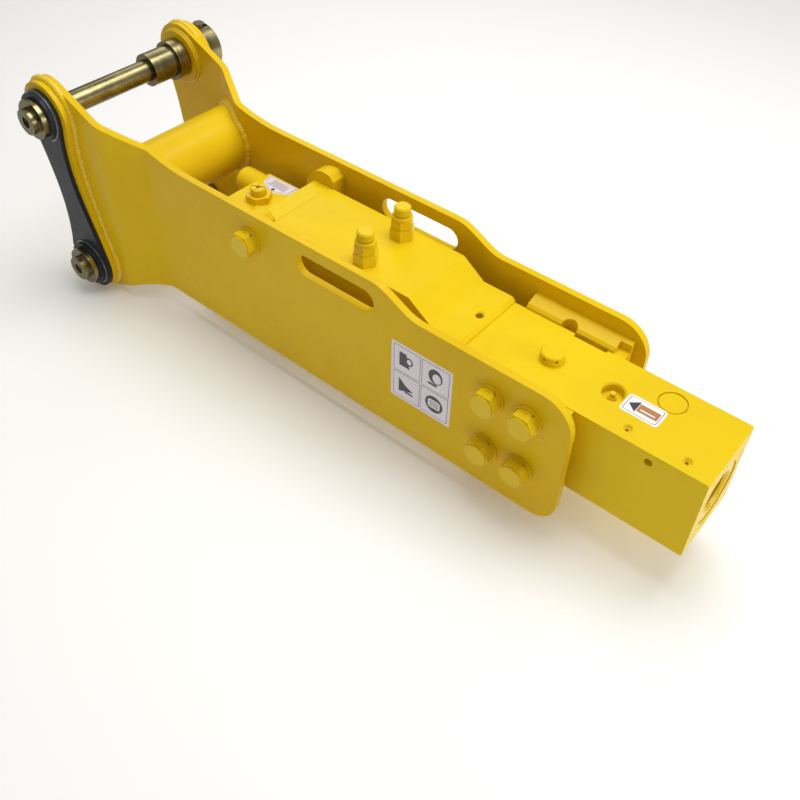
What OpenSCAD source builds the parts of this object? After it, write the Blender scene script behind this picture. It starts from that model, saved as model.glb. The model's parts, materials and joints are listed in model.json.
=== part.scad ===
// Side-plate hydraulic breaker for a backhoe loader, lying on its back.
// +X runs along the hammer towards the tool end, Y runs across, +Z is up.
// The origin is under the middle of the object, on the surface it rests on.
// Stations along the hammer are distances back from the tool end face, and sx() turns one into x.
// All lengths are in millimetres.

/* [Linkage] */
// Distance from the tool face back to the upper linkage pin
upper_pin_s = 1400; // [1380:1:1440]
// Height of the upper linkage pin
upper_pin_z = 402; // [390:1:415]
// Distance from the tool face back to the lower linkage pin
lower_pin_s = 1360; // [1340:1:1375]
// Diameter of both linkage pins
pin_d = 45; // [40:1:50]
// Radius of the plate around each linkage pin
ear_r = 68; // [64:1:72]
// Clear width between the two ears
ear_gap = 312; // [300:2:330]

/* [Side plates] */
// Thickness of a side plate
plate_t = 14; // [12:1:16]
// Clear width between the flat parts of the side plates
plate_gap = 220; // [212:1:228]
// Height of the plates' straight lower edge
edge_z = 50; // [44:1:56]
// Height of the upper edge over the back half
rear_top_z = 364; // [356:1:370]
// Height of the upper edge over the front half
front_top_z = 327; // [320:1:334]
// Distance from the tool face back to the plates' front end
plate_front_s = 207; // [200:1:215]

/* [Hammer body] */
// Width of the front head, the cylinder and the back head
body_w = 156; // [150:2:160]
// Height of the hammer's axis
axis_z = 193; // [190:1:196]
// Underside of the hammer body
body_bottom_z = 105; // [100:1:108]
// Top of the front head
head_top_z = 281; // [279:1:284]
// Top of the cylinder
cylinder_top_z = 325; // [322:1:330]
// Length of the front head
head_len = 451; // [446:1:456]
// Length of the cylinder
cylinder_len = 441; // [436:1:446]
// Length of the back head
back_len = 173; // [168:1:180]

/* [Tool holding] */
// Diameter of the tool that the bushes take
tool_d = 70; // [66:1:72]
// Outer diameter of the two tool bushes
bush_d = 116; // [112:1:118]
// Diameter of the tool retaining pin
tool_pin_d = 46; // [42:1:46]

/* [Percussion] */
// Diameter of the piston's two lands
piston_d = 68; // [66:1:69]
// Travel of the piston
stroke = 85; // [60:5:85]
// Diameter of the valve spool
spool_d = 34; // [30:1:36]
// Travel of the valve spool
spool_travel = 14; // [8:1:16]

/* [Fasteners] */
// Thread diameter of the side bolts
side_bolt_d = 30; // [27:1:30]
// Thread diameter of the tie rods
tie_rod_d = 26; // [24:1:27]

/* [Hidden] */
$fn = 64;

paint = "#E3BC1C";
zinc = "#8C7F3E";
slate = "#34373D";
steel = "#9A9C9E";
bronze = "#A98545";
rubber = "#26262A";

eps = 0.01;
// running gap between a part and the one that turns or slides in it, at the radius
run = 0.2;
half_len = (upper_pin_s + ear_r) / 2;
lower_pin_z = ear_r;
body_y = body_w / 2;
plate_in = plate_gap / 2;
plate_out = plate_in + plate_t;
ear_in = ear_gap / 2;
ear_out = ear_in + plate_t;
pin_r = pin_d / 2;
back_s = head_len + cylinder_len;
end_s = back_s + back_len;

// joggle between the flat plate and the ear
bend_s = 1186;
joggle_len = 86;
bend_r = 38;
joggle = ear_in - plate_in;
joggle_a = atan(joggle / joggle_len);

// places of the fasteners on the side plates
front_bolt_s = [286, 358];
front_bolt_z = [141, 259];
rear_bolt_s = 908;
rear_bolt_z = 303;
bolt_hole_r = side_bolt_d / 2 + 0.8;
washer_t = 4;
spring_t = 5;

// upper and lower tie rods, each side of the axis, and their domed nuts
nut_r = 27;
dome_r = 10;
tie_y = 58;
tie_dz = 67;

// layers outside each ear, as distances from the ear's outer face
doubler_t = 18;
link_t = 8.5;
link_boss_t = 9.5;
layer_gap = 0.5;
flange_t = 12;
hub_t = 13;
collar_t = 32;
collar_r = 49;
flange_r = 40;
hub_r = 26;
recess_r = 11;
recess_t = 5;
boss_t = 8;
boss_r = 55;
link_y = ear_out + doubler_t + layer_gap;
flange_y = link_y + link_t + link_boss_t + layer_gap;
hub_y = flange_y + flange_t;
tip_y = hub_y + hub_t;
collar_y = ear_out + doubler_t + 8;
collar_mid_y = collar_y + collar_t / 2;

// spacer bush and shims on each pin
shim_t = 9;
shim_r = 41;
shim_gap = layer_gap;
spacer_r = 34;
spacer_body = 59;
spacer_flange = 9;
shim_b_y = ear_in - boss_t - shim_gap - shim_t;
shim_a_y = shim_b_y - shim_gap - shim_t;
spacer_flange_y = shim_a_y - shim_gap - spacer_flange;
spacer_y = spacer_flange_y - spacer_body;

// tool end of the front head
tool_r = tool_d / 2 + 1;
bush_r = bush_d / 2;
front_bush_s = [2, 92];
rear_bush_s = [146, 262];
thrust_s = [262.2, 300];
cavity_r = 50;
tool_pin_s = 121;
tool_pin_y = 40;
stop_pin_s = 96;
stop_pin_z = 261;
stop_pin_r = 7;
lock_pin_s = [47, 149];
lock_pin_y = -55;
lock_pin_r = 6;
nipple_s = 206;
plug_s = 323;

// percussion
axis_rod_r = 30;
tail_rod_r = 31;
piston_front_s = 342;
land_s = [500, 560, 640, 700];
piston_tail_s = 915;
bore_front_s = 488;
carrier_s = 792;
carrier_r = 50;

// valve and ports
valve_z = 284;
valve_r = 22;
valve_front_s = 600;
port_s = 689;
port_y = 50;
port_base_h = 23;
port_nut_h = 24;
port_plug_h = 18;

// back head
// chamfer on the back head's top edge where it meets the cylinder
seam = 1.8;
step_s = 934;
step_z = 285;
gas_r = 42;
gas_end_s = 1040;
charge_s = 1013;
charge_hex_h = 14;
charge_neck_h = 24;

function sx(s) = half_len - s;
function arc(s, z, r, a0, a1) = let (n = max(4, ceil(abs(a1 - a0) / 4)))
    [for (i = [0 : n]) let (a = a0 + (a1 - a0) * i / n) [s + r * cos(a), z + r * sin(a)]];
function bezier(p0, p1, p2, p3, n = 16) =
    [for (i = [0 : n]) let (t = i / n, u = 1 - t)
        u * u * u * p0 + 3 * u * u * t * p1 + 3 * u * t * t * p2 + t * t * t * p3];
function swap(points) = [for (p = points) [sx(p[0]), p[1]]];

// ---- shapes that repeat ----

// round bar along X between two stations
module rod_x(s0, s1, r, y = 0, z = axis_z) {
    translate([sx(s1), y, z]) rotate([0, 90, 0]) cylinder(h = s1 - s0, r = r);
}

// round bar along Y
module rod_y(y0, y1, r, s, z) {
    translate([sx(s), y1, z]) rotate([90, 0, 0]) cylinder(h = y1 - y0, r = r);
}

// round bar along Z
module rod_z(z0, z1, r, s, y) {
    translate([sx(s), y, z0]) cylinder(h = z1 - z0, r = r);
}

// hexagonal bar along Z, given its width across flats
module hex_z(z0, z1, flats, s, y) {
    translate([sx(s), y, z0]) cylinder(h = z1 - z0, r = flats / sqrt(3), $fn = 6);
}

// hexagonal bar along Y, given its width across flats
module hex_y(y0, y1, flats, s, z) {
    translate([sx(s), y1, z]) rotate([90, 0, 0]) cylinder(h = y1 - y0, r = flats / sqrt(3), $fn = 6);
}

// block between two stations
module block(s0, s1, y0, y1, z0, z1) {
    translate([sx(s1), y0, z0]) cube([s1 - s0, y1 - y0, z1 - z0]);
}

// outline in station and height, extruded across the hammer
module across(points, y0, y1) {
    translate([0, y1, 0]) rotate([90, 0, 0]) linear_extrude(y1 - y0) polygon(swap(points));
}

// ring turned about an axis along X
module ring_x(s0, s1, r_in, r_out, y = 0, z = axis_z) {
    difference() {
        rod_x(s0, s1, r_out, y, z);
        rod_x(s0 - 1, s1 + 1, r_in, y, z);
    }
}

// ring turned about an axis along Y
module ring_y(y0, y1, r_in, r_out, s, z) {
    difference() {
        rod_y(y0, y1, r_out, s, z);
        rod_y(y0 - 1, y1 + 1, r_in, s, z);
    }
}

// one copy on each side of the middle plane
module both_sides() {
    children();
    mirror([0, 1, 0]) children();
}

// ---- side plates ----

// side view of a plate, as [station, height]
function plate_outline() = let (
    slope = 25,
    corner_s = upper_pin_s - ear_r * sin(slope) - (upper_pin_z + ear_r * cos(slope) - rear_top_z) / tan(slope),
    sweep_r = 417,
    sweep_t = sweep_r * tan(slope / 2),
    step_a = 613,
    step_b = 507,
    top_r = 60,
    low_r = 48,
    dip = 22,
    dip_t = 39,
    dip_s = lower_pin_s - ear_r * sin(dip) - (edge_z - ear_r * (1 - cos(dip))) / tan(dip),
    rear = [upper_pin_s + ear_r * cos(25), upper_pin_z - ear_r * sin(25)]
) concat(
    arc(plate_front_s + low_r, edge_z + low_r, low_r, 180, 270),
    arc(dip_s - dip_t, edge_z - dip_t / tan(dip / 2), dip_t / tan(dip / 2), 90, 90 - dip),
    arc(lower_pin_s, lower_pin_z, ear_r, 270 - dip, 360),
    bezier([lower_pin_s + ear_r, lower_pin_z + 10], [lower_pin_s + ear_r - 4, 210],
        [rear[0] - 24, rear[1] - 56], rear),
    arc(upper_pin_s, upper_pin_z, ear_r, -20, 90 + slope),
    arc(corner_s - sweep_t, rear_top_z + sweep_r, sweep_r, slope - 90, -90),
    [for (i = [0 : 12]) let (t = i / 12)
        [step_a + (step_b - step_a) * t, rear_top_z - (rear_top_z - front_top_z) * (1 - cos(180 * t)) / 2]],
    arc(plate_front_s + top_r, front_top_z - top_r, top_r, 90, 180)
);

// plan of one face of the plate, offset d outward from the inner face, as [station, y]
function face_plan(d) = let (
    tan_len = bend_r * tan(joggle_a / 2),
    r0 = bend_r + d,
    r1 = bend_r - d
) concat(
    [[plate_front_s - 20, plate_in + d]],
    [for (i = [0 : 5]) let (a = joggle_a * i / 5)
        [bend_s - tan_len + (bend_r - d) * sin(a), plate_in + bend_r - (bend_r - d) * cos(a)]],
    [for (i = [5 : -1 : 0]) let (a = joggle_a * i / 5)
        [bend_s + joggle_len + tan_len - (bend_r + d) * sin(a), ear_in - bend_r + (bend_r + d) * cos(a)]],
    [[upper_pin_s + ear_r + 20, ear_in + d]]
);

function reversed(list) = [for (i = [len(list) - 1 : -1 : 0]) list[i]];

// +Y side plate with its slot and holes
module plate() {
    slot_s = [606, 788];
    slot_z = [293, 339];
    slot_r = (slot_z[1] - slot_z[0]) / 2;
    slot_mid = (slot_z[0] + slot_z[1]) / 2;
    difference() {
        intersection() {
            across(plate_outline(), 0, ear_out + 20);
            linear_extrude(600) polygon(swap(concat(face_plan(0), reversed(face_plan(plate_t)))));
        }
        block(slot_s[0] + slot_r, slot_s[1] - slot_r, 0, 200, slot_z[0], slot_z[1]);
        for (s = [slot_s[0] + slot_r, slot_s[1] - slot_r]) rod_y(0, 200, slot_r, s, slot_mid);
        for (s = front_bolt_s, z = front_bolt_z) rod_y(0, 200, bolt_hole_r, s, z);
        rod_y(0, 200, bolt_hole_r, rear_bolt_s, rear_bolt_z);
        rod_y(0, 260, pin_r + run, upper_pin_s, upper_pin_z);
        rod_y(0, 260, pin_r + run, lower_pin_s, lower_pin_z);
    }
}

module side_plate_near() color(paint) mirror([0, 1, 0]) plate();
module side_plate_far() color(paint) plate();

// waisted plate that joins both pins, as [station, height]
function waisted(r_up, r_low, front_in, rear_in) = concat(
    arc(upper_pin_s, upper_pin_z, r_up, -25, 185),
    bezier([upper_pin_s - r_up, upper_pin_z - 12], [upper_pin_s - r_up + front_in, upper_pin_z - 130],
        [lower_pin_s - r_low + front_in, lower_pin_z + 130], [lower_pin_s - r_low, lower_pin_z + 12]),
    arc(lower_pin_s, lower_pin_z, r_low, 180, 370),
    bezier([lower_pin_s + r_low, lower_pin_z + 20], [lower_pin_s + r_low - rear_in, lower_pin_z + 130],
        [upper_pin_s + r_up - rear_in - 8, upper_pin_z - 130], [upper_pin_s + r_up * cos(28),
        upper_pin_z - r_up * sin(28)])
);

module pin_holes(y0, y1, r) {
    rod_y(y0, y1, r, upper_pin_s, upper_pin_z);
    rod_y(y0, y1, r, lower_pin_s, lower_pin_z);
}

module doubler() {
    difference() {
        across(waisted(64, 60, 24, 24), ear_out, ear_out + doubler_t);
        pin_holes(0, 300, pin_r + run);
    }
}

module doubler_near() color(paint) mirror([0, 1, 0]) doubler();
module doubler_far() color(paint) doubler();

// round bosses on the inner faces of both ears
module ear_bosses() color(paint) both_sides() {
    ring_y(ear_in - boss_t, ear_in, pin_r + run, boss_r, upper_pin_s, upper_pin_z);
    ring_y(ear_in - boss_t, ear_in, pin_r + run, boss_r, lower_pin_s, lower_pin_z);
}

// tube between the plates behind the hammer, its ends cut to the joggle
module cross_tube() color(paint) {
    tube_s = 1228;
    tube_z = 288;
    inner = face_plan(0);
    intersection() {
        ring_y(-200, 200, 56.5, 66.5, tube_s, tube_z);
        linear_extrude(600) polygon(swap(concat(inner, [for (p = reversed(inner)) [p[0], -p[1]]])));
    }
}

// link plate outside the near ear, with a raised ring round each pin
module link_plate() color(slate) mirror([0, 1, 0]) {
    ring_r = 49;
    difference() {
        union() {
            across(waisted(51, 59, 30, 30), link_y, link_y + link_t);
            rod_y(link_y + link_t - 1, link_y + link_t + link_boss_t, ring_r, upper_pin_s, upper_pin_z);
            rod_y(link_y + link_t - 1, link_y + link_t + link_boss_t, ring_r, lower_pin_s, lower_pin_z);
        }
        pin_holes(0, 300, pin_r + run);
    }
}

// bars that fill the gap between the front head and the plates
module filler_bar() {
    bar_s = [231, 428];
    profile = [[body_y, body_bottom_z], [plate_in, body_bottom_z], [plate_in, 297],
        [plate_in - 8, 297], [body_y + 5, 290], [body_y, 285]];
    notch_s = 341;
    difference() {
        translate([sx(bar_s[1]), 0, 0]) rotate([90, 0, 90])
            linear_extrude(bar_s[1] - bar_s[0]) polygon(profile);
        rod_z(258, 310, 15, notch_s, body_y);
        block(bar_s[0] - 1, 252, body_y - 1, body_y + 20, 280, 310);
        for (s = front_bolt_s, z = front_bolt_z) rod_y(0, 200, bolt_hole_r, s, z);
    }
}

module filler_bar_near() color(paint) mirror([0, 1, 0]) filler_bar();
module filler_bar_far() color(paint) filler_bar();

// rounded lugs between the back head and the plates, behind the rear side bolts
module rear_lugs() color(paint) both_sides() {
    lug_r = 49;
    front_s = 885;
    difference() {
        across(concat(
            [[front_s, 255]],
            arc(rear_bolt_s, rear_bolt_z, lug_r, -60, 105),
            [[front_s, rear_bolt_z + 36]]
        ), body_y, plate_in);
        rod_y(0, 200, bolt_hole_r, rear_bolt_s, rear_bolt_z);
    }
}

// ---- linkage pins ----

// pin with a flanged head on the near side; its far end carries a collar
module linkage_pin(s, z) {
    hole_r = 7;
    difference() {
        union() {
            rod_y(-flange_y - 1, collar_y + collar_t + 4, pin_r, s, z);
            rod_y(-hub_y, -flange_y, flange_r, s, z);
            rod_y(-tip_y, -hub_y + 1, hub_r, s, z);
        }
        rod_y(-tip_y - 1, -tip_y + recess_t, recess_r, s, z);
        rod_y(-tip_y, -tip_y + recess_t + 31, hole_r, s, z);
        rod_z(z - collar_r - 10, z + collar_r + 10, 7.3, s, collar_mid_y);
    }
}

// collar that holds the far end of a pin
module collar(s, z) {
    difference() {
        rod_y(collar_y, collar_y + collar_t, collar_r, s, z);
        rod_y(0, 300, pin_r + 0.05, s, z);
        rod_z(z - collar_r - 10, z + collar_r + 10, 7.3, s, collar_mid_y);
        for (side = [-1, 1]) translate([0, 0, side * collar_r * 1.93])
            block(s - 14, s + 14, collar_mid_y - 14, collar_mid_y + 14, z - collar_r, z + collar_r);
    }
}

// bolt and nut through a collar and its pin
module collar_bolt(s, z) {
    flat = collar_r * 0.93;
    rod_z(z - flat - 14, z + flat + 1, 7, s, collar_mid_y);
    hex_z(z + flat, z + flat + 9, 22, s, collar_mid_y);
    difference() {
        hex_z(z - flat - 11, z - flat, 22, s, collar_mid_y);
        rod_z(z - flat - 12, z - flat + 1, 7, s, collar_mid_y);
    }
}

// flanged bush that centres the dipper arm on a pin
module spacer_bush(s, z) {
    difference() {
        union() {
            rod_y(spacer_y, spacer_flange_y + 1, spacer_r, s, z);
            rod_y(spacer_flange_y, spacer_flange_y + spacer_flange, shim_r, s, z);
        }
        rod_y(-300, 300, pin_r + run, s, z);
    }
}

// two loose shim rings on a pin
module shims(s, z) {
    ring_y(shim_a_y, shim_a_y + shim_t, pin_r + run, shim_r, s, z);
    ring_y(shim_b_y, shim_b_y + shim_t, pin_r + run, shim_r, s, z);
}

module upper_pin() color(zinc) linkage_pin(upper_pin_s, upper_pin_z);
module upper_collar() color(zinc) collar(upper_pin_s, upper_pin_z);
module upper_collar_bolt() color(steel) collar_bolt(upper_pin_s, upper_pin_z);
module upper_spacer_bush() color(zinc) spacer_bush(upper_pin_s, upper_pin_z);
module upper_shims() color(zinc) shims(upper_pin_s, upper_pin_z);
module lower_pin() color(zinc) linkage_pin(lower_pin_s, lower_pin_z);
module lower_collar() color(zinc) collar(lower_pin_s, lower_pin_z);
module lower_collar_bolt() color(steel) collar_bolt(lower_pin_s, lower_pin_z);
module lower_spacer_bush() color(zinc) spacer_bush(lower_pin_s, lower_pin_z);
module lower_shims() color(zinc) shims(lower_pin_s, lower_pin_z);

// ---- front head and tool holding ----

module front_head() color(paint) {
    chamfer = 3;
    bolt_depth_y = 45;
    difference() {
        across([[0, body_bottom_z + chamfer], [chamfer, body_bottom_z], [head_len, body_bottom_z],
            [head_len, head_top_z], [chamfer, head_top_z], [0, head_top_z - chamfer]], -body_y, body_y);
        rod_x(-1, rear_bush_s[1], bush_r + 0.05);
        rod_x(rear_bush_s[1] - 1, head_len + 1, cavity_r);
        rod_z(body_bottom_z - 1, head_top_z + 1, tool_pin_d / 2 + run, tool_pin_s, tool_pin_y);
        rod_z(head_top_z - 3, head_top_z + 1, tool_pin_d / 2 + 1.8, tool_pin_s, tool_pin_y);
        rod_y(-body_y - 1, 64, stop_pin_r + 0.1, stop_pin_s, stop_pin_z);
        for (s = lock_pin_s) {
            rod_z(140, head_top_z + 1, lock_pin_r + 0.05, s, lock_pin_y);
            translate([sx(s), lock_pin_y, head_top_z - 3]) cylinder(h = 4, r1 = lock_pin_r, r2 = lock_pin_r + 4);
        }
        rod_z(head_top_z - 16, head_top_z + 1, 19, nipple_s, 0);
        translate([sx(nipple_s), 0, head_top_z - 3]) cylinder(h = 4, r1 = 19, r2 = 23);
        rod_z(axis_z + bush_r - 4, head_top_z, 4, nipple_s, 0);
        rod_z(axis_z + cavity_r - 6, head_top_z + 1, 15, plug_s, 0);
        both_sides() for (s = front_bolt_s, z = front_bolt_z)
            rod_y(bolt_depth_y, body_y + 1, side_bolt_d / 2 + 0.05, s, z);
        both_sides() for (z = [axis_z - tie_dz, axis_z + tie_dz])
            rod_x(head_len - 65, head_len + 1, tie_rod_d / 2 + 0.05, tie_y, z);
        block(262, 326, body_y - 7, body_y + 1, head_top_z - 22, head_top_z + 1);
    }
}

// bush that guides the tool, with a groove for its lock pin
module tool_bush(span, lock_s) {
    difference() {
        ring_x(span[0], span[1], tool_r, bush_r);
        rod_z(axis_z - bush_r - 1, axis_z + bush_r + 1, lock_pin_r + 0.1, lock_s, lock_pin_y);
        translate([sx(span[0] + 5) - eps, 0, axis_z]) rotate([0, 90, 0])
            cylinder(h = 5 + 2 * eps, r1 = tool_r, r2 = tool_r + 5);
        children();
    }
}

module front_bush() color(steel) tool_bush(front_bush_s, lock_pin_s[0]) {
    rod_x(18, 28, tool_r + 6);
}

module rear_bush() color(steel) tool_bush(rear_bush_s, lock_pin_s[1]) {
    rod_z(axis_z, axis_z + bush_r + 1, 4, nipple_s, 0);
}

module bush_lock_pins() color(steel) for (s = lock_pin_s) difference() {
    rod_z(140, head_top_z - 4, lock_pin_r, s, lock_pin_y);
    hex_z(head_top_z - 11, head_top_z - 3, 6, s, lock_pin_y);
}
module dust_seal() color(rubber) ring_x(18.2, 27.8, tool_r + 1.5, tool_r + 5.9);
module thrust_ring() color(steel) ring_x(thrust_s[0], thrust_s[1], tool_r + 2, cavity_r - 0.05);

// pin across the tool, grooved where the stop pin crosses it
module tool_pin() color(paint) difference() {
    groove = stop_pin_r + 0.8;
    union() {
        rod_z(body_bottom_z + 3, head_top_z - 1, tool_pin_d / 2, tool_pin_s, tool_pin_y);
        translate([sx(tool_pin_s), tool_pin_y, head_top_z - 1])
            cylinder(h = 1, r1 = tool_pin_d / 2, r2 = tool_pin_d / 2 - 1);
    }
    difference() {
        rod_z(stop_pin_z - groove, stop_pin_z + groove, tool_pin_d, tool_pin_s, tool_pin_y);
        rod_z(stop_pin_z - 9, stop_pin_z + 9, tool_pin_s - stop_pin_s - stop_pin_r - 0.6, tool_pin_s, tool_pin_y);
    }
}

module stop_pin() color(steel) rod_y(-body_y + 9, 62, stop_pin_r - 0.1, stop_pin_s, stop_pin_z);

// screwed plug with cross holes for a pin spanner
module front_plug() color(paint) {
    top = head_top_z + 17;
    difference() {
        union() {
            rod_z(axis_z + cavity_r + 8, head_top_z + 1, 15 - run, plug_s, 0);
            rod_z(head_top_z + 0.3, top - 2, 21, plug_s, 0);
            translate([sx(plug_s), 0, top - 2]) cylinder(h = 2, r1 = 21, r2 = 19);
        }
        translate([sx(plug_s), 0, head_top_z + 10]) for (a = [20, 80, 140])
            rotate([0, 90, a]) cylinder(h = 60, r = 2.6, center = true);
    }
}

module grease_nipple() color(zinc) {
    floor_z = head_top_z - 16;
    rod_z(floor_z - 9, floor_z + 1, 3.9, nipple_s, 0);
    hex_z(floor_z, floor_z + 5, 14, nipple_s, 0);
    rod_z(floor_z + 4, floor_z + 9, 3.4, nipple_s, 0);
    rod_z(floor_z + 8.5, floor_z + 13, 4.8, nipple_s, 0);
}

// ---- cylinder, piston and valve ----

module tie_rod_bores(s0, s1) {
    both_sides() for (z = [axis_z - tie_dz, axis_z + tie_dz])
        rod_x(s0, s1, tie_rod_d / 2 + 1, tie_y, z);
}

module cylinder_block() {
    pad_z = 291;
    ramp_s = [520, 568];
    bevel = 7;
    across([[head_len, body_bottom_z], [back_s, body_bottom_z], [back_s, cylinder_top_z],
        [ramp_s[1], cylinder_top_z], [ramp_s[0], pad_z], [head_len + bevel, pad_z],
        [head_len, pad_z - bevel]], -body_y, body_y);
}

module hammer_cylinder() color(paint) {
    gallery_z = 288;
    difference() {
        cylinder_block();
        rod_x(head_len - 1, bore_front_s + 1, axis_rod_r + run);
        rod_x(460, 472, axis_rod_r + 6);
        rod_x(bore_front_s, carrier_s + 1, piston_d / 2 + run);
        for (s = [494, 600, 740]) rod_x(s, s + 22, piston_d / 2 + 5);
        rod_x(carrier_s, back_s + 1, carrier_r + 0.05);
        rod_x(valve_front_s, back_s + 1, valve_r + 0.05, 0, valve_z);
        tie_rod_bores(head_len - 1, back_s + 1);
        for (side = [-1, 1]) rod_z(gallery_z - 6, cylinder_top_z + 1, 13, port_s, side * port_y);
        rod_y(-port_y, port_y, 6, port_s, gallery_z);
        for (s = [610, 760]) rod_z(axis_z + 30, valve_z, 6, s, 0);
        rod_z(250, 300, 7, 473, 0);
        translate([sx(473), 0, 288.5]) cylinder(h = 3, r1 = 7, r2 = 11);
    }
}

module piston() color(steel) {
    nose = 4;
    translate([sx(0), 0, axis_z]) rotate([0, -90, 0]) rotate_extrude() polygon([
        [0, piston_front_s], [axis_rod_r - nose, piston_front_s], [axis_rod_r, piston_front_s + nose],
        [axis_rod_r, land_s[0]], [piston_d / 2, land_s[0]], [piston_d / 2, land_s[1]],
        [piston_d / 2 - 3, land_s[1]], [piston_d / 2 - 3, land_s[2]], [piston_d / 2, land_s[2]],
        [piston_d / 2, land_s[3]], [tail_rod_r, land_s[3]], [tail_rod_r, piston_tail_s - nose],
        [tail_rod_r - nose, piston_tail_s], [0, piston_tail_s]]);
}

module rod_seals() color(rubber) ring_x(460.2, 471.8, axis_rod_r + 0.25, axis_rod_r + 5.9);

// ring that closes the back of the cylinder bore and carries the gas seals
module seal_carrier() color(bronze) difference() {
    ring_x(carrier_s + 0.1, back_s - 0.1, tail_rod_r + run, carrier_r);
    for (s = [816, 846, 872]) rod_x(s, s + 8, tail_rod_r + 5);
}

module gas_seals() color(rubber) for (s = [816, 846, 872])
    ring_x(s + 0.2, s + 7.8, tail_rod_r + 0.25, tail_rod_r + 4.9);

// seal between the cylinder and the back head
module joint_seal() color(rubber) ring_x(back_s + 0.1, back_s + 3.9, 54, 58);

module valve_sleeve() color(steel) difference() {
    ring_x(valve_front_s + 30, 790, spool_d / 2 + run, valve_r, 0, valve_z);
    for (s = [650, port_s, 740]) rod_z(valve_z - 40, valve_z + 40, 5, s, 0);
    rod_y(-40, 40, 5, port_s, valve_z);
}

module valve_spool() color(steel) {
    start = valve_front_s + 45;
    waist = spool_d / 2 - 5;
    r = spool_d / 2;
    translate([sx(0), 0, valve_z]) rotate([0, -90, 0]) rotate_extrude() polygon([
        [6, start], [r, start], [r, start + 26], [waist, start + 30], [waist, start + 52],
        [r, start + 56], [r, start + 78], [waist, start + 82], [waist, start + 98],
        [r, start + 102], [r, start + 128], [6, start + 128]]);
}

module valve_plug() color(steel) {
    rod_x(800, back_s - 0.5, valve_r, 0, valve_z);
    rod_x(790.5, 801, 10, 0, valve_z);
}

// ---- hose ports ----

module port_adapter(y) {
    thread_r = 13;
    difference() {
        union() {
            rod_z(cylinder_top_z - 24, cylinder_top_z + 1, thread_r - 0.05, port_s, y);
            hex_z(cylinder_top_z, cylinder_top_z + port_base_h, 41, port_s, y);
            rod_z(cylinder_top_z + port_base_h - 1, cylinder_top_z + port_base_h + 17, 15, port_s, y);
        }
        rod_z(cylinder_top_z - 25, cylinder_top_z + port_base_h + 18, 9, port_s, y);
    }
}

module port_adapters() color(paint) for (side = [-1, 1]) port_adapter(side * port_y);

// union nut that closes a port adapter
module port_nut(y) {
    base = cylinder_top_z + port_base_h + 0.4;
    difference() {
        union() {
            hex_z(base, base + port_nut_h - 8, 37, port_s, y);
            rod_z(base + port_nut_h - 8.5, base + port_nut_h - 2, 19, port_s, y);
            translate([sx(port_s), y, base + port_nut_h - 2]) cylinder(h = 2, r1 = 19, r2 = 17);
        }
        rod_z(base - 1, base + 18, 15 + run, port_s, y);
        rod_z(base, base + port_nut_h + 1, 11, port_s, y);
    }
}

// blanking plug held under the nut
module port_plug(y) {
    base = cylinder_top_z + port_base_h + 0.8 + port_nut_h;
    rod_z(base - port_nut_h + 18, base + 1, 10.6, port_s, y);
    rod_z(base, base + 2, 13, port_s, y);
    rod_z(base + 1.5, base + port_plug_h - 3, 15.5, port_s, y);
    translate([sx(port_s), y, base + port_plug_h - 3]) cylinder(h = 3, r1 = 15.5, r2 = 12.5);
}

module port_nut_near() color(paint) port_nut(-port_y);
module port_nut_far() color(paint) port_nut(port_y);
module port_plug_near() color(paint) port_plug(-port_y);
module port_plug_far() color(paint) port_plug(port_y);

// ---- back head ----

module back_head() color(paint) difference() {
    across([[back_s, body_bottom_z], [end_s, body_bottom_z], [end_s, step_z], [step_s, step_z],
        [step_s, cylinder_top_z], [back_s + seam, cylinder_top_z], [back_s, cylinder_top_z - seam]],
        -body_y, body_y);
    rod_x(back_s - 1, gas_end_s, gas_r);
    rod_x(back_s - 1, back_s + 4, 58.1);
    tie_rod_bores(back_s - 1, end_s + 1);
    rod_z(axis_z + 20, step_z + 1, 15, charge_s, 0);
    both_sides() rod_y(54, body_y + 1, side_bolt_d / 2 + 0.05, rear_bolt_s, rear_bolt_z);
}

// hexagonal body of the gas charging valve, screwed into the back head
module charge_valve_body() color(paint) difference() {
    union() {
        rod_z(step_z - 30, step_z + 1, 14.9, charge_s, 0);
        hex_z(step_z, step_z + charge_hex_h, 46, charge_s, 0);
        rod_z(step_z + charge_hex_h - 1, step_z + charge_neck_h, 11, charge_s, 0);
    }
    rod_z(step_z - 31, step_z + 8, 8, charge_s, 0);
    rod_z(step_z + 7, step_z + charge_neck_h + 1, 3.5, charge_s, 0);
}

// slotted cap screwed over the valve's neck
module charge_valve_cap() color(paint) {
    top = step_z + charge_neck_h + 5;
    difference() {
        union() {
            rod_z(step_z + charge_hex_h + 0.4, top - 2, 16, charge_s, 0);
            translate([sx(charge_s), 0, top - 2]) cylinder(h = 2, r1 = 16, r2 = 14);
        }
        rod_z(step_z + charge_hex_h - 1, step_z + charge_neck_h + 2.2, 11 + run, charge_s, 0);
        rod_z(step_z + charge_neck_h + 1, top + 1, 4.5, charge_s, 0);
        translate([sx(charge_s), 0, top]) for (a = [25, 115])
            rotate([0, 0, a]) cube([40, 4, 4], center = true);
    }
}

// ring seal carried inside the cap, above the valve's neck
module charge_cap_seal() color(rubber) difference() {
    rod_z(step_z + charge_neck_h + 0.7, step_z + charge_neck_h + 1.9, 10.4, charge_s, 0);
    rod_z(step_z + charge_neck_h, step_z + charge_neck_h + 3, 5, charge_s, 0);
}

// sliding poppet that seals the gas in
module charge_valve_poppet() color(steel) {
    rod_z(step_z - 18, step_z + 6.5, 7.7, charge_s, 0);
    rod_z(step_z + 6, step_z + charge_neck_h - 3, 2.9, charge_s, 0);
}

// ---- fasteners ----

module tie_rods() color(steel) both_sides() for (z = [axis_z - tie_dz, axis_z + tie_dz])
    rod_x(head_len - 63, end_s + 46, tie_rod_d / 2, tie_y, z);

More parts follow.
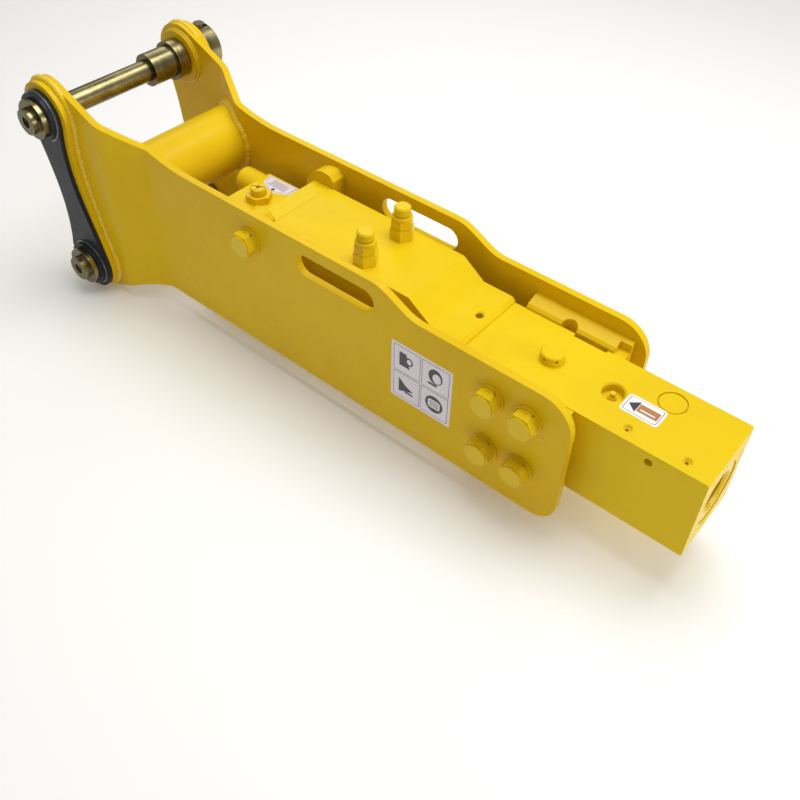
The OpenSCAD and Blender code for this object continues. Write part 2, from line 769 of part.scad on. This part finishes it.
// long domed nuts on the tie rods behind the back head
module tie_rod_nuts() color(paint) both_sides() for (z = [axis_z - tie_dz, axis_z + tie_dz])
    translate([sx(0), tie_y, z]) rotate([0, -90, 0]) rotate_extrude() polygon(concat(
        [[tie_rod_d / 2 + 0.05, end_s], [nut_r - 2, end_s], [nut_r, end_s + 2]],
        [for (i = [0 : 6]) let (a = 90 * i / 6)
            [nut_r - dome_r * (1 - cos(a)), end_s + 48 + dome_r * sin(a)]],
        [[0, end_s + 48 + dome_r], [0, end_s + 46.2], [tie_rod_d / 2 + 0.05, end_s + 46.2]]));

// hexagon bolt lying along Y, its head outside the plate
module side_bolt(s, z, tip) {
    head_y = plate_out + washer_t + spring_t;
    rod_y(tip, head_y + 1, side_bolt_d / 2, s, z);
    hex_y(head_y, head_y + 15, 46, s, z);
    rod_y(head_y + 14, head_y + 18, 21, s, z);
}

module at_side_bolts() {
    both_sides() {
        for (s = front_bolt_s, z = front_bolt_z) translate([sx(s), 0, z]) children();
        translate([sx(rear_bolt_s), 0, rear_bolt_z]) children();
    }
}

module front_side_bolts() color(paint) both_sides()
    for (s = front_bolt_s, z = front_bolt_z) side_bolt(s, z, 48);
module rear_side_bolts() color(paint) both_sides() side_bolt(rear_bolt_s, rear_bolt_z, 57);

module side_washers() color(paint) at_side_bolts()
    translate([0, plate_out + washer_t, 0]) rotate([90, 0, 0]) difference() {
        cylinder(h = washer_t, r = 28);
        translate([0, 0, -1]) cylinder(h = washer_t + 2, r = side_bolt_d / 2 + 0.6);
    }

// split spring washers under the bolt heads
module side_spring_washers() color(paint) at_side_bolts()
    translate([0, plate_out + washer_t + spring_t, 0]) rotate([90, 0, 0]) difference() {
        cylinder(h = spring_t, r = 24);
        translate([0, 0, -1]) cylinder(h = spring_t + 2, r = side_bolt_d / 2 + 0.5);
        rotate([0, 0, 60]) translate([0, -1.5, -1]) cube([30, 3, spring_t + 2]);
    }

side_plate_near();
side_plate_far();
doubler_near();
doubler_far();
ear_bosses();
cross_tube();
filler_bar_near();
filler_bar_far();
rear_lugs();
link_plate();
upper_pin();
upper_collar();
upper_collar_bolt();
upper_spacer_bush();
upper_shims();
lower_pin();
lower_collar();
lower_collar_bolt();
lower_spacer_bush();
lower_shims();
front_head();
front_bush();
rear_bush();
bush_lock_pins();
dust_seal();
thrust_ring();
tool_pin();
stop_pin();
front_plug();
grease_nipple();
hammer_cylinder();
piston();
rod_seals();
seal_carrier();
gas_seals();
joint_seal();
valve_sleeve();
valve_spool();
valve_plug();
port_adapters();
port_nut_near();
port_nut_far();
port_plug_near();
port_plug_far();
back_head();
charge_valve_body();
charge_valve_cap();
charge_cap_seal();
charge_valve_poppet();
tie_rods();
tie_rod_nuts();
front_side_bolts();
rear_side_bolts();
side_washers();
side_spring_washers();
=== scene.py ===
"""Looks of the hydraulic breaker: camera, studio, paint and metal, weld beads, decals and paint runs."""
import json
import math
import random

import bmesh
import bpy
from mathutils import Matrix, Vector


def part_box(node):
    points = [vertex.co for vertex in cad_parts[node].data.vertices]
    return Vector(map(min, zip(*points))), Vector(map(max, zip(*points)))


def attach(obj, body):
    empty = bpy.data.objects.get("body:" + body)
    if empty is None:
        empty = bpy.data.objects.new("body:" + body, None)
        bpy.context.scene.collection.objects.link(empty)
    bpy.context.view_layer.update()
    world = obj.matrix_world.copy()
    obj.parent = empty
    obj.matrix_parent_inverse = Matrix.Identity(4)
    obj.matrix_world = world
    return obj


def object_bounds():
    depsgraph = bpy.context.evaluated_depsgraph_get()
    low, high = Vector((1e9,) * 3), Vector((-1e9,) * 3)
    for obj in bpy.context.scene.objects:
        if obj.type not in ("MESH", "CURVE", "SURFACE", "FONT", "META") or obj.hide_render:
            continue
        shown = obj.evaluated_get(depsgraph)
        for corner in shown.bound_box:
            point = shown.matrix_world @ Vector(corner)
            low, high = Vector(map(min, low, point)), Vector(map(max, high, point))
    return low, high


MM = 0.001
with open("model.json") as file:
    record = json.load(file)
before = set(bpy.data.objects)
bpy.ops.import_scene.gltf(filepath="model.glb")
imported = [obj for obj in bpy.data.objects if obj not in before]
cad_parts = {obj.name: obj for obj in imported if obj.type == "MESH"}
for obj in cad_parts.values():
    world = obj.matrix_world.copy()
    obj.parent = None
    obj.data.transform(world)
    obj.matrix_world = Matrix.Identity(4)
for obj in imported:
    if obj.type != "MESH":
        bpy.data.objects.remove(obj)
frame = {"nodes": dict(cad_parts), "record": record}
NODES = frame["nodes"]
cad_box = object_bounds()
rng = random.Random(7)

# ---------------------------------------------------------------- places read from the frame

FLOOR_Z = cad_box[0].z - 0.5 * MM
HEAD_LOW, HEAD_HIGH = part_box("front_head")
BACK_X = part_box("back_head")[0].x
PLATE_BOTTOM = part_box("side_plate_near")[0].z
PLATE_T = 14 * MM
# outer face of the near plate's flat part, from the filler bar that lies against its inner face
PLATE_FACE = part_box("filler_bar_near")[0].y - PLATE_T
# thickness of the raised rings on the link plate
LINK_RING_T = 9.5 * MM
# depth of the charging valve's thread below the back head's recessed top
CHARGE_THREAD = 30 * MM


def middle_of(node):
    """Middle of a CAD node's box."""
    low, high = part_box(node)
    return (low + high) / 2

# ---------------------------------------------------------------- camera and studio


def make_camera():
    """The camera at the photograph's viewing angle."""
    place = Vector((903.1, -1011.8, 1315.3)) * MM
    target = Vector((205.0, -110.1, 175.0)) * MM
    roll = math.radians(2.26)
    ahead = (target - place).normalized()
    level = ahead.cross(Vector((0, 0, 1))).normalized()
    upright = level.cross(ahead)
    right = math.cos(roll) * level + math.sin(roll) * upright
    up = math.cos(roll) * upright - math.sin(roll) * level
    data = bpy.data.cameras.new("camera")
    data.sensor_width = 36
    data.lens = 41.09
    data.shift_x = -0.0148
    data.shift_y = -0.0231
    data.clip_start = 0.05
    data.clip_end = 60
    camera = bpy.data.objects.new("camera", data)
    bpy.context.scene.collection.objects.link(camera)
    turn = Matrix((right, up, -ahead)).transposed()
    camera.matrix_world = Matrix.Translation(place) @ turn.to_4x4()
    bpy.context.scene.camera = camera


def area_light(name, place, size, power, target=(0.0, 0.0, 0.2)):
    """A square soft box that faces the target."""
    data = bpy.data.lights.new(name, "AREA")
    data.shape = "SQUARE"
    data.size = size
    data.energy = power
    light = bpy.data.objects.new(name, data)
    light.location = place
    light.rotation_mode = "QUATERNION"
    light.rotation_quaternion = (Vector(target) - Vector(place)).to_track_quat("-Z", "Y")
    bpy.context.scene.collection.objects.link(light)


def make_studio():
    """Pale floor, a sky that darkens towards the horizon, and three soft boxes."""
    world = bpy.data.worlds.new("studio")
    bpy.context.scene.world = world
    world.use_nodes = True
    tree = world.node_tree
    where = tree.nodes.new("ShaderNodeTexCoord")
    split = tree.nodes.new("ShaderNodeSeparateXYZ")
    sweep = tree.nodes.new("ShaderNodeValToRGB")
    tree.links.new(where.outputs["Generated"], split.inputs["Vector"])
    tree.links.new(split.outputs["Z"], sweep.inputs["Fac"])
    tree.links.new(sweep.outputs["Color"], tree.nodes["Background"].inputs["Color"])
    sweep.color_ramp.elements[0].position = 0.05
    sweep.color_ramp.elements[0].color = (0.185, 0.145, 0.085, 1)
    sweep.color_ramp.elements[1].position = 0.75
    sweep.color_ramp.elements[1].color = (0.46, 0.46, 0.44, 1)
    area_light("soft_top", (0.2, 0.5, 2.8), 2.0, 54)
    area_light("soft_tool_end", (2.8, 0.65, 0.9), 1.0, 24, target=(0.0, 0.0, 0.3))
    area_light("soft_back", (-2.2, 1.8, 2.0), 1.4, 8)
    bpy.ops.mesh.primitive_plane_add(size=40, location=(0, 0, FLOOR_Z))
    floor = bpy.context.object
    floor.name = "floor"
    floor.data.materials.append(floor_surface())
    bpy.context.scene.view_settings.view_transform = "Standard"


# ---------------------------------------------------------------- materials


class Shader:
    """A small helper that builds one Principled material."""

    def __init__(self, name):
        self.material = bpy.data.materials.new(name)
        self.material.use_nodes = True
        self.tree = self.material.node_tree
        self.main = self.tree.nodes["Principled BSDF"]
        self.coords = self.node("ShaderNodeTexCoord")
        self.where = self.coords.outputs["Object"]

    def node(self, kind, **values):
        """Adds a node; keyword values set its properties."""
        made = self.tree.nodes.new(kind)
        for key, value in values.items():
            setattr(made, key, value)
        return made

    def link(self, source, socket):
        self.tree.links.new(source, socket)

    def set(self, **values):
        """Sets sockets of the main shader; an underscore stands for a space."""
        for key, value in values.items():
            self.main.inputs[key.replace("_", " ")].default_value = value

    def noise(self, scale, detail, rough=0.55):
        """Noise at a scale per metre."""
        made = self.node("ShaderNodeTexNoise")
        made.inputs["Scale"].default_value = scale
        made.inputs["Detail"].default_value = detail
        made.inputs["Roughness"].default_value = rough
        self.link(self.where, made.inputs["Vector"])
        return made.outputs["Fac"]

    def ramp(self, source, low, high, start, end):
        """Maps a value from start..end onto low..high."""
        made = self.node("ShaderNodeMapRange")
        for key, value in (("From Min", start), ("From Max", end), ("To Min", low), ("To Max", high)):
            made.inputs[key].default_value = value
        self.link(source, made.inputs["Value"])
        return made.outputs["Result"]

    def mix(self, factor, first, second):
        """Mixes two colours by a socket; each colour is a socket or three numbers."""
        made = self.node("ShaderNodeMix", data_type="RGBA")
        factor_in, first_in, second_in = made.inputs[0], made.inputs[6], made.inputs[7]
        self.link(factor, factor_in)
        for value, socket in ((first, first_in), (second, second_in)):
            if isinstance(value, bpy.types.NodeSocket):
                self.link(value, socket)
            else:
                socket.default_value = (*value, 1)
        return made.outputs[2]

    def bump(self, height, strength, distance, below=None):
        """Bump on top of an earlier normal."""
        made = self.node("ShaderNodeBump")
        made.inputs["Strength"].default_value = strength
        made.inputs["Distance"].default_value = distance
        self.link(height, made.inputs["Height"])
        if below is not None:
            self.link(below, made.inputs["Normal"])
        return made.outputs["Normal"]

    def rounded(self, radius):
        """Normal that rounds sharp edges, as paint and deburring do."""
        made = self.node("ShaderNodeBevel", samples=6)
        made.inputs["Radius"].default_value = radius
        return made.outputs["Normal"]


def floor_surface():
    """Pale matte floor with a faint glow that keeps it white."""
    shade = Shader("floor_pale")
    shade.set(Base_Color=(0.93, 0.93, 0.93, 1), Roughness=0.8, Specular_IOR_Level=0.2)
    shade.set(Emission_Color=(1, 1, 1, 1), Emission_Strength=0.10)
    return shade.material


def paint(name, colour, deep, rough, peel=0.10, edge=1.6, coat=0.04, shine=0.09):
    """Enamel: slow colour drift, dust in patches, orange peel and edges rounded by so many millimetres."""
    shade = Shader(name)
    drift = shade.ramp(shade.noise(3.0, 3), 0, 1, 0.35, 0.70)
    body = shade.mix(drift, colour, deep)
    dust = shade.ramp(shade.noise(14.0, 6, 0.65), 0, 0.30, 0.54, 0.80)
    dusty = tuple(0.86 * c + 0.006 for c in deep)
    shade.link(shade.mix(dust, body, dusty), shade.main.inputs["Base Color"])
    haze = shade.ramp(shade.noise(30.0, 5, 0.6), rough - 0.05, rough + 0.14, 0.35, 0.75)
    shade.link(haze, shade.main.inputs["Roughness"])
    shade.set(Coat_Weight=coat, Coat_Roughness=0.12, Specular_IOR_Level=shine)
    wavy = shade.bump(shade.noise(26.0, 2), 0.25, 0.0012, shade.rounded(edge * MM))
    shade.link(shade.bump(shade.noise(420.0, 2), peel, 0.0004, wavy), shade.main.inputs["Normal"])
    return shade.material


def turned(name, colour, tint, rough, axis):
    """Turned metal with fine rings along an axis, a plated tint that drifts, and end faces painted darker as
    painted shade (a painted dark reflection).
    """
    shade = Shader(name)
    rings = shade.node("ShaderNodeTexWave", wave_type="BANDS", bands_direction=axis)
    rings.inputs["Scale"].default_value = 900
    rings.inputs["Distortion"].default_value = 0.6
    rings.inputs["Detail"].default_value = 2
    shade.link(shade.where, rings.inputs["Vector"])
    drift = shade.ramp(shade.noise(14.0, 4, 0.5), 0, 1, 0.40, 0.64)
    plated = shade.mix(drift, colour, tint)
    # Painted shade: faces that look along the axis get a darker colour, standing in for the dark reflection
    # on the end faces.
    facing = shade.node("ShaderNodeSeparateXYZ")
    shade.link(shade.coords.outputs["Normal"], facing.inputs["Vector"])
    squared = shade.node("ShaderNodeMath", operation="POWER")
    shade.link(facing.outputs[axis], squared.inputs[0])
    squared.inputs[1].default_value = 2
    ends = shade.ramp(squared.outputs[0], 0, 1, 0.80, 0.98)
    plated = shade.mix(ends, plated, tuple(0.62 * c for c in tint))
    stain = shade.ramp(shade.noise(70.0, 5, 0.6), 0, 0.22, 0.55, 0.8)
    shade.link(shade.mix(stain, plated, tuple(0.6 * c for c in tint)), shade.main.inputs["Base Color"])
    wear = shade.ramp(shade.noise(30.0, 4), rough - 0.04, rough + 0.08, 0.35, 0.7)
    shade.link(wear, shade.main.inputs["Roughness"])
    shade.set(Metallic=1.0, Specular_IOR_Level=0.5)
    grooves = shade.bump(rings.outputs["Fac"], 0.03, 0.0002, shade.rounded(1.2 * MM))
    shade.link(grooves, shade.main.inputs["Normal"])
    return shade.material


def rubber(name):
    """Matte black nitrile."""
    shade = Shader(name)
    grain = shade.noise(500.0, 3)
    shade.link(shade.mix(shade.ramp(grain, 0, 1, 0.3, 0.7), (0.012, 0.012, 0.013), (0.03, 0.03, 0.032)),
               shade.main.inputs["Base Color"])
    shade.set(Roughness=0.7)
    shade.link(shade.bump(grain, 0.15, 0.0003), shade.main.inputs["Normal"])
    return shade.material


def print_film(name, colour):
    """Printed film of a decal."""
    shade = Shader(name)
    fade = shade.ramp(shade.noise(60.0, 4), 0, 0.4, 0.4, 0.8)
    shade.link(shade.mix(fade, colour, tuple(0.86 * c for c in colour)), shade.main.inputs["Base Color"])
    shade.set(Roughness=0.38, Coat_Weight=0.2)
    shade.link(shade.bump(shade.noise(160.0, 3), 0.08, 0.0003), shade.main.inputs["Normal"])
    return shade.material


FRAME_YELLOW = (0.80, 0.54, 0.008)
FRAME_DEEP = (0.74, 0.48, 0.007)
YELLOW = (0.83, 0.60, 0.009)
YELLOW_DEEP = (0.77, 0.53, 0.008)

PLATE_PAINT = paint("frame_enamel", FRAME_YELLOW, FRAME_DEEP, rough=0.30)
BODY_PAINT = paint("body_enamel", YELLOW, YELLOW_DEEP, rough=0.32, edge=1.0)
FITTING_PAINT = paint("fitting_enamel", (0.83, 0.585, 0.010), YELLOW_DEEP, rough=0.24, peel=0.2, edge=1.2,
                      coat=0.10, shine=0.16)
SLATE_PAINT = paint("slate_enamel", (0.026, 0.030, 0.038), (0.019, 0.022, 0.030), rough=0.34, coat=0.12)
ZINC_PLATE = turned("zinc_plate", (0.38, 0.33, 0.16), (0.20, 0.17, 0.085), rough=0.24, axis="Y")
BOLT_STEEL = turned("bolt_steel", (0.30, 0.27, 0.17), (0.20, 0.17, 0.10), rough=0.34, axis="Z")
STEEL = turned("machined_steel", (0.42, 0.41, 0.40), (0.28, 0.27, 0.26), rough=0.28, axis="X")
BRONZE = turned("turned_bronze", (0.50, 0.32, 0.13), (0.36, 0.22, 0.09), rough=0.30, axis="X")
RUBBER = rubber("nitrile")
FILM_PALE = print_film("decal_film", (0.82, 0.78, 0.87))
FILM_WHITE = print_film("decal_white", (0.84, 0.84, 0.86))
FILM_DARK = print_film("decal_dark", (0.030, 0.026, 0.040))
FILM_RUST = print_film("decal_rust", (0.46, 0.18, 0.05))
FILM_MAUVE = print_film("decal_mauve", (0.16, 0.10, 0.22))

WELD_PAINT = paint("weld_enamel", (0.84, 0.60, 0.012), FRAME_YELLOW, rough=0.18, peel=0.3, edge=0.4,
                   coat=0.35, shine=0.4)
WELD_SLATE = paint("weld_slate", (0.050, 0.056, 0.075), (0.030, 0.034, 0.050), rough=0.16, edge=0.4,
                   coat=0.7, shine=0.6)

SLOT_MATERIAL = {
    "frame_paint": PLATE_PAINT,
    "body_paint": BODY_PAINT,
    "fitting_paint": FITTING_PAINT,
    "zinc_plate": ZINC_PLATE,
    "bolt_steel": BOLT_STEEL,
    "machined_steel": STEEL,
    "bronze": BRONZE,
    "seal_rubber": RUBBER,
    "link_paint": SLATE_PAINT,
}


def dress_nodes():
    """Gives every CAD node the material of its slot."""
    for entry in frame["record"]["subparts"]:
        mesh = NODES[entry["node"]].data
        mesh.materials.clear()
        mesh.materials.append(SLOT_MATERIAL[entry["material_slot"]])


# ---------------------------------------------------------------- mesh helpers


def add_piece(name, bm, materials, body, smooth=True):
    """Turns a bmesh into an object that rides on a body."""
    mesh = bpy.data.meshes.new(name)
    bmesh.ops.recalc_face_normals(bm, faces=bm.faces)
    bm.to_mesh(mesh)
    bm.free()
    for material in materials:
        mesh.materials.append(material)
    mesh.polygons.foreach_set("use_smooth", [smooth] * len(mesh.polygons))
    piece = bpy.data.objects.new(name, mesh)
    bpy.context.scene.collection.objects.link(piece)
    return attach(piece, body)


def sharp_loops(node, least=32):
    """Closed chains of a CAD node's sharp edges, each a list of points."""
    work = bmesh.new()
    work.from_mesh(NODES[node].data)
    bmesh.ops.remove_doubles(work, verts=work.verts, dist=1e-5)
    sharp = [e for e in work.edges if len(e.link_faces) == 2 and e.calc_face_angle(0) > math.radians(least)]
    edges = set(sharp)
    loops = []
    for first in sharp:
        if first not in edges:
            continue
        edges.discard(first)
        chain = [first.verts[0], first.verts[1]]
        while True:
            ahead = [e for e in chain[-1].link_edges if e in edges]
            if not ahead:
                break
            edges.discard(ahead[0])
            chain.append(ahead[0].other_vert(chain[-1]))
        if chain[0] == chain[-1] and len(chain) > 8:
            loops.append([v.co.copy() for v in chain[:-1]])
    work.free()
    return loops


def loop_length(points):
    """Length round a closed chain."""
    return sum((a - b).length for a, b in zip(points, points[1:] + points[:1]))


# ---------------------------------------------------------------- welds

BEAD_SIDES = 10
BEAD_STEP = 1.5 * MM
RIPPLE_PITCH = 5.2 * MM
# radius of each kind of bead
DOUBLER_BEAD = 7.5 * MM
BOSS_BEAD = 4.5 * MM
RING_BEAD = 3.2 * MM
TUBE_BEAD = 10 * MM
# lengths round the edges that carry a bead, in metres
BOSS_ROUND_LEAST = 0.30
RING_ROUND_LEAST, RING_ROUND_MOST = 0.28, 0.33
TUBE_ROUND_LEAST = 0.40


def evenly(points, step):
    """The closed chain's points again, a step apart."""
    made, left = [], 0.0
    for a, b in zip(points, points[1:] + points[:1]):
        span = (b - a).length
        while left < span:
            made.append(a.lerp(b, left / span))
            left += step
        left -= span
    return made


def closed_tube(bm, points, radius, outward):
    """Skins a closed tube round points; radius depends on the index and outward on the point."""
    rings = []
    for i, here in enumerate(points):
        along = (points[(i + 1) % len(points)] - points[i - 1]).normalized()
        side = outward(here)
        side = (side - along * side.dot(along)).normalized()
        across = along.cross(side)
        ring = []
        for k in range(BEAD_SIDES):
            a = math.tau * k / BEAD_SIDES
            ring.append(bm.verts.new(here + (math.cos(a) * side + math.sin(a) * across) * radius(i)))
        rings.append(ring)
    for one, two in zip(rings, rings[1:] + rings[:1]):
        for k in range(BEAD_SIDES):
            m = (k + 1) % BEAD_SIDES
            bm.faces.new((one[k], one[m], two[m], two[k]))


def weld_bead(name, chains, radius, outward, material):
    """A rippled weld bead along each closed chain; outward gives the side that the section starts from."""
    bm = bmesh.new()
    for chain in chains:
        points = evenly(chain, BEAD_STEP)
        swell = [rng.uniform(0.92, 1.10) for _ in range(int(len(points) * BEAD_STEP / RIPPLE_PITCH) + 2)]

        def size(i):
            """Radius at a point: ripples, each swollen a little differently."""
            place = i * BEAD_STEP / RIPPLE_PITCH
            ripple = abs(math.sin(math.pi * place))
            return radius * (0.90 + 0.13 * ripple) * swell[int(place)]

        closed_tube(bm, points, size, outward)
    add_piece(name, bm, [material], "hammer")


def in_plane(loop, y):
    """True where every point of a loop lies at y, within 0.6 mm."""
    return all(abs(p.y - y) < 0.6 * MM for p in loop)


def make_welds():
    """Beads where the frame's plates, tube, bosses and link rings are welded."""
    for side, node in ((-1, "doubler_near"), (1, "doubler_far")):
        low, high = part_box(node)
        ear_face = high.y if side < 0 else low.y
        rim = max((c for c in sharp_loops(node) if in_plane(c, ear_face)), key=loop_length)
        weld_bead(f"weld_{node}", [rim], DOUBLER_BEAD, lambda p, s=side: Vector((0, s, 0)), WELD_PAINT)

    low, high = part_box("ear_bosses")
    rims = []
    for loop in sharp_loops("ear_bosses"):
        if (in_plane(loop, low.y) or in_plane(loop, high.y)) and loop_length(loop) > BOSS_ROUND_LEAST:
            rims.append(loop)
    weld_bead("weld_ear_bosses", rims, BOSS_BEAD, lambda p: Vector((0, -1 if p.y > 0 else 1, 0)), WELD_PAINT)

    link_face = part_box("link_plate")[0].y + LINK_RING_T
    rings = []
    for loop in sharp_loops("link_plate"):
        if in_plane(loop, link_face) and RING_ROUND_LEAST < loop_length(loop) < RING_ROUND_MOST:
            rings.append(loop)
    weld_bead("weld_link_rings", rings, RING_BEAD, lambda p: Vector((0, -1, 0)), WELD_SLATE)

    axis = middle_of("cross_tube")
    ends = [loop for loop in sharp_loops("cross_tube") if loop_length(loop) > TUBE_ROUND_LEAST]
    weld_bead("weld_cross_tube", ends, TUBE_BEAD,
              lambda p: Vector((p.x - axis.x, 0, p.z - axis.z)), WELD_PAINT)


# ---------------------------------------------------------------- paint runs

# middle of a side bolt's head from the edges of its box, along X and Z
HEAD_IN_X = 27 * MM
HEAD_IN_Z = 24 * MM
WASHER_R = 28.6 * MM
DROPS_A_WASHER = 4
# how far a drop's middle stands off its face
DROP_LIFT = 0.1 * MM


def add_drop(bm, place, side, length, width):
    """A drop of paint on an upright face; side is -1 or 1 for the face's outward Y."""
    for vert in bmesh.ops.create_icosphere(bm, subdivisions=2, radius=1.0)["verts"]:
        tail = 1.0 if vert.co.z < 0 else 0.55
        lean = 1.0 - 0.35 * max(0.0, vert.co.z)
        vert.co = Vector((vert.co.x * width * lean, vert.co.y * width * 0.32, vert.co.z * length * tail))
        vert.co += place + Vector((0, side, 0)) * DROP_LIFT


def make_drips():
    """Paint gathered at the side bolts: short runs round each washer, and one blob on the near plate."""
    bm = bmesh.new()
    low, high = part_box("front_side_bolts")
    rows, columns = (low.z + HEAD_IN_Z, high.z - HEAD_IN_Z), (low.x + HEAD_IN_X, high.x - HEAD_IN_X)
    spots = [(x, z) for x in columns for z in rows]
    rear = middle_of("rear_side_bolts")
    spots.append((rear.x, rear.z))
    for x, z in spots:
        for side in (-1, 1):
            for _ in range(DROPS_A_WASHER):
                turn = math.radians(rng.uniform(-160, -20))
                across, down = WASHER_R * math.cos(turn), WASHER_R * math.sin(turn)
                place = Vector((x + across, -side * PLATE_FACE, z + down))
                add_drop(bm, place, side, rng.uniform(2.0, 4.5) * MM, rng.uniform(1.4, 2.4) * MM)
    blob = Vector((HEAD_HIGH.x - 253 * MM, PLATE_FACE, PLATE_BOTTOM + 237 * MM))
    for dx, dz, size in ((0, 0, 5.0), (4, 3, 3.2), (-4, 2, 2.6)):
        add_drop(bm, blob + Vector((dx, 0, dz)) * MM, -1, size * MM, size * 0.9 * MM)
    add_piece("paint_runs", bm, [WELD_PAINT], "hammer")


# ---------------------------------------------------------------- decals


def rounded_box(cx, cy, w, h, r, steps=6):
    """Outline of a rectangle with round corners."""
    points = []
    for sx, sy, a0 in ((1, 1, 0), (-1, 1, 90), (-1, -1, 180), (1, -1, 270)):
        for k in range(steps + 1):
            a = math.radians(a0 + 90 * k / steps)
            points.append((cx + sx * (w / 2 - r) + r * math.cos(a), cy + sy * (h / 2 - r) + r * math.sin(a)))
    return points


def ellipse(cx, cy, rx, ry, steps=32):
    """Outline of an ellipse."""
    turns = [math.tau * k / steps for k in range(steps)]
    return [(cx + rx * math.cos(a), cy + ry * math.sin(a)) for a in turns]


class Decal:
    """Thin printed film built from flat shapes in millimetres, each a layer above the last."""

    LAYER = 0.12 * MM
    FOOT = 0.02 * MM

    def __init__(self, place, along, up):
        self.place = Vector(place)
        self.along = Vector(along)
        self.up = Vector(up)
        self.out = self.along.cross(self.up)
        self.bm = bmesh.new()

    def shape(self, outline, layer, ink):
        """Adds a flat shape with its thin edge."""
        top = (layer + 1) * self.LAYER
        ring = [self.place + (self.along * x + self.up * y) * MM for x, y in outline]
        upper = [self.bm.verts.new(p + self.out * top) for p in ring]
        lower = [self.bm.verts.new(p + self.out * self.FOOT) for p in ring]
        faces = [self.bm.faces.new(upper)]
        for k in range(len(ring)):
            m = (k + 1) % len(ring)
            faces.append(self.bm.faces.new((lower[k], lower[m], upper[m], upper[k])))
        for face in faces:
            face.material_index = ink

    def frame(self, outline, inset, layer, ink, paper):
        """A border line: the outline in ink with a smaller sheet on top."""
        cx = sum(x for x, _ in outline) / len(outline)
        cy = sum(y for _, y in outline) / len(outline)
        reach = max(math.hypot(x - cx, y - cy) for x, y in outline)
        shrink = 1 - inset / reach
        self.shape(outline, layer, ink)
        self.shape([(cx + (x - cx) * shrink, cy + (y - cy) * shrink) for x, y in outline], layer + 1, paper)

    def finish(self, name, inks):
        """Makes the decal's object; inks are its materials in order."""
        add_piece(name, self.bm, inks, "hammer", smooth=False)


def make_plate_decal():
    """Square decal of four cells with plain shapes on the near plate."""
    size = 132
    left, bottom = HEAD_LOW.x - 114 * MM, PLATE_BOTTOM + 134 * MM
    decal = Decal((left, PLATE_FACE, bottom), (1, 0, 0), (0, 0, 1))
    pale, dark, mauve = 0, 1, 2
    half = size / 2
    decal.shape(rounded_box(half, half, size, size, 3), 0, pale)
    for col in (0, 1):
        for row in (0, 1):
            cx, cy = half / 2 + 2 + col * (half - 4), half / 2 + 2 + row * (half - 4)
            decal.frame(rounded_box(cx, cy, half - 7, half - 7, 1.5), 1.6, 1, mauve, pale)
            if row == col == 1:
                decal.shape(ellipse(cx, cy + 4, 15, 17), 3, dark)
                decal.shape(ellipse(cx + 3, cy + 1, 9, 11), 4, pale)
                decal.shape(rounded_box(cx - 6, cy - 16, 20, 5, 2), 3, dark)
            elif row == 1:
                block = [(-17, -14), (6, -14), (-2, 17), (-17, 17)]
                decal.shape([(cx + x, cy + y) for x, y in block], 3, dark)
                decal.shape(ellipse(cx + 5, cy + 3, 8, 9), 4, dark)
                decal.shape(ellipse(cx + 5, cy + 3, 5, 6), 5, pale)
            elif col == 0:
                flag = [(-17, -16), (16, -4), (-2, 4), (-17, 17)]
                decal.shape([(cx + x, cy + y) for x, y in flag], 3, dark)
                decal.shape(rounded_box(cx + 6, cy - 12, 18, 4, 1.5), 3, dark)
            else:
                decal.shape(ellipse(cx, cy, 19, 19), 3, dark)
                decal.shape(rounded_box(cx, cy, 26, 20, 5), 4, pale)
                for k in (-5, 0, 5):
                    decal.shape(rounded_box(cx, cy + k, 20, 1.6, 0.7), 5, dark)
    decal.finish("decal_plate", [FILM_PALE, FILM_DARK, FILM_MAUVE])


def make_arrow_decal():
    """Small white plate with an arrow towards the cylinder and a rust coloured bar."""
    middle = Vector((HEAD_HIGH.x - 149 * MM, -5 * MM, HEAD_HIGH.z))
    decal = Decal(middle, (1, 0, 0), (0, 1, 0))
    white, dark, rust = 0, 1, 2
    decal.shape(rounded_box(0, 0, 68, 42, 6), 0, white)
    decal.frame(rounded_box(0, 0, 60, 34, 4), 1.0, 1, dark, white)
    decal.shape([(-26, 0), (-10, -13), (-10, 13)], 3, dark)
    decal.shape(rounded_box(9, 0, 36, 18, 1), 3, rust)
    decal.shape(rounded_box(9, -3, 26, 3, 1), 4, white)
    decal.finish("decal_arrow", [FILM_WHITE, FILM_DARK, FILM_RUST])


def make_back_decal():
    """Five-sided plate on the back head with plain ruled lines."""
    recess_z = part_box("charge_valve_body")[0].z + CHARGE_THREAD
    decal = Decal((BACK_X, 0, recess_z), (1, 0, 0), (0, 1, 0))
    pale, dark, mauve = 0, 1, 2
    corners = [(6, 74), (88, 76), (85, 47), (47, 28), (13, 50)]
    decal.frame(corners, 2.0, 0, pale, pale)
    decal.frame([(10, 71), (84, 73), (81, 49), (48, 32), (17, 52)], 1.5, 2, mauve, pale)
    for k in range(4):
        decal.shape(rounded_box(48, 50 + 5 * k, 48 - 2 * k, 1.4, 0.6), 4, dark)
    decal.shape(ellipse(48, 41, 4, 4), 4, dark)
    decal.finish("decal_back", [FILM_PALE, FILM_DARK, FILM_MAUVE])


# ---------------------------------------------------------------- finishing

make_camera()
make_studio()
dress_nodes()
make_welds()
make_drips()
make_plate_decal()
make_arrow_decal()
make_back_decal()
